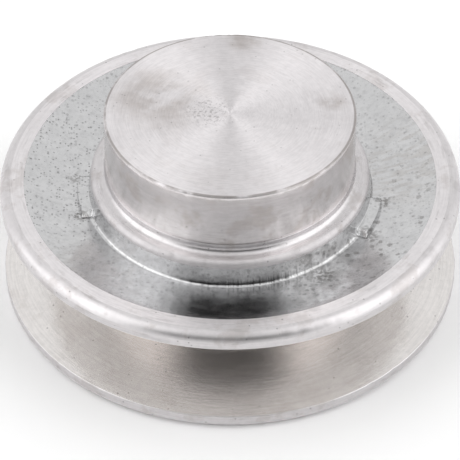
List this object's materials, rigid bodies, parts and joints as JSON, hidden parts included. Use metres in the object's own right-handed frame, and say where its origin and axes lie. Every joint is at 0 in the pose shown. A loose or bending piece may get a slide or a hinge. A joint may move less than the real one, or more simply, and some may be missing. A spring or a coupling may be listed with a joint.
{
  "type": "v belt pulley",
  "caption": "V belt idler pulley with a deep groove, dished cast webs and a closed turned hub cap over sealed ball bearings on a plain axle bore.",
  "frame": {"origin": "on the pulley's axis at the belt groove's mid-plane, inside the bearing bore", "axes": "+Z along the axis towards the closed hub face; the machine's axle enters from -Z; -Y is the side with the casting pads left and right of it"},
  "size_m": [0.063, 0.063, 0.0282],
  "materials": {
    "cast_aluminium": "die cast webs and hub flank, satin turned rims, groove and ledge",
    "turned_aluminium": "fine turned, with a concentric feed pattern on its face",
    "bearing_steel": "ground bearing steel",
    "ball_steel": "polished bearing steel",
    "pressed_steel": "pressed sheet steel",
    "spring_steel": "phosphated spring steel",
    "spacer_steel": "turned steel",
    "seal_rubber": "matt moulded nitrile rubber"
  },
  "bodies": {
    "axle_side": {"rear_bearing_inner_ring": "bearing_steel", "inner_spacer": "spacer_steel", "front_bearing_inner_ring": "bearing_steel"},
    "pulley": {"sheave": "cast_aluminium", "hub_cap": "turned_aluminium", "snap_ring": "spring_steel", "outer_spacer": "spacer_steel", "rear_bearing_outer_ring": "bearing_steel", "front_bearing_outer_ring": "bearing_steel", "rear_bearing_seal_front": "seal_rubber", "rear_bearing_seal_rear": "seal_rubber", "front_bearing_seal_front": "seal_rubber", "front_bearing_seal_rear": "seal_rubber"},
    "rear_ball_set": {"rear_bearing_balls": "ball_steel", "rear_bearing_cage_front": "pressed_steel", "rear_bearing_cage_rear": "pressed_steel", "rear_bearing_cage_rivets": "pressed_steel"},
    "front_ball_set": {"front_bearing_balls": "ball_steel", "front_bearing_cage_front": "pressed_steel", "front_bearing_cage_rear": "pressed_steel", "front_bearing_cage_rivets": "pressed_steel"}
  },
  "joints": [
    {"name": "pulley_spin", "type": "hinge", "parent": "axle_side", "child": "pulley", "pos_m": [0, 0, 0], "axis": [0, 0, 1], "continuous": true},
    {"name": "rear_balls_roll", "type": "hinge", "parent": "axle_side", "child": "rear_ball_set", "pos_m": [0, 0, -0.00135], "axis": [0, 0, 1], "continuous": true},
    {"name": "front_balls_roll", "type": "hinge", "parent": "axle_side", "child": "front_ball_set", "pos_m": [0, 0, 0.0092], "axis": [0, 0, 1], "continuous": true}
  ],
  "couplings": [
    {"joint": "rear_balls_roll", "follows": "pulley_spin", "ratio": 0.61905},
    {"joint": "front_balls_roll", "follows": "pulley_spin", "ratio": 0.61905}
  ]
}
